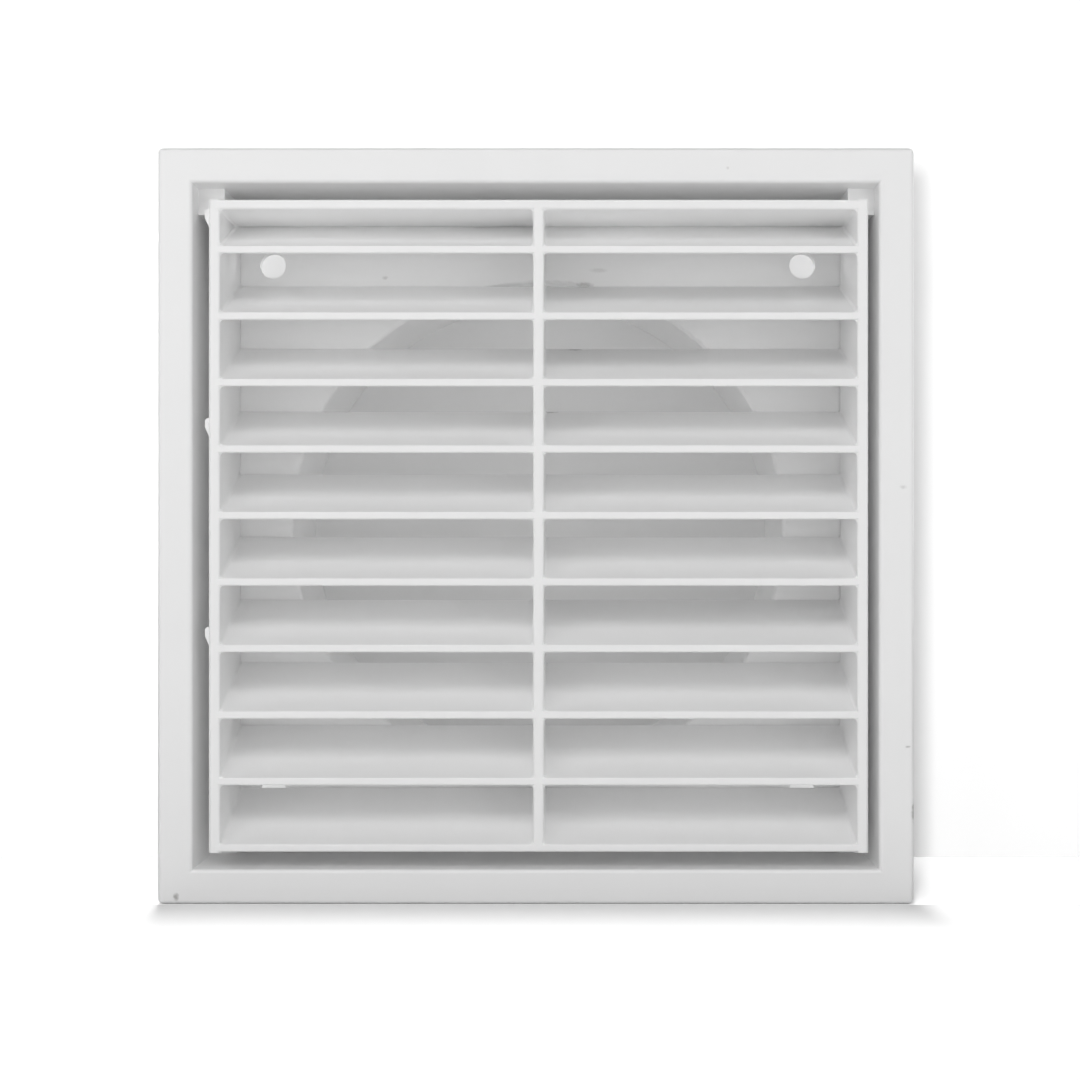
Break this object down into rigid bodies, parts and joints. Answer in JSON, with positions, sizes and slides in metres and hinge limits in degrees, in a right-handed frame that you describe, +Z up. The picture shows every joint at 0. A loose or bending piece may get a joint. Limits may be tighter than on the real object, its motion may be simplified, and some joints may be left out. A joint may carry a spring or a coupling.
{
  "type": "louvre exhaust vent",
  "caption": "Square white plastic wall vent: a rimmed base with a round duct spigot behind it, and a lift-out insert of sloping fixed louvre blades.",
  "frame": {"origin": "on the spigot's axis, in the plane where the base's back lies on the wall", "axes": "+Y back along the spigot into the duct, -Y out to the weather, +Z up, +X to the right seen from the front"},
  "size_m": [0.14, 0.0503, 0.14],
  "materials": {
    "base_plastic": "white injection-moulded plastic, satin",
    "insert_plastic": "white injection-moulded plastic, satin"
  },
  "bodies": {
    "base": {"vent_base": "base_plastic"},
    "louvre": {"louvre_insert": "insert_plastic"}
  },
  "joints": [
    {"name": "insert_out", "type": "slide", "parent": "base", "child": "louvre", "axis": [0, -1, 0], "range_m": [0, 0.04]}
  ]
}
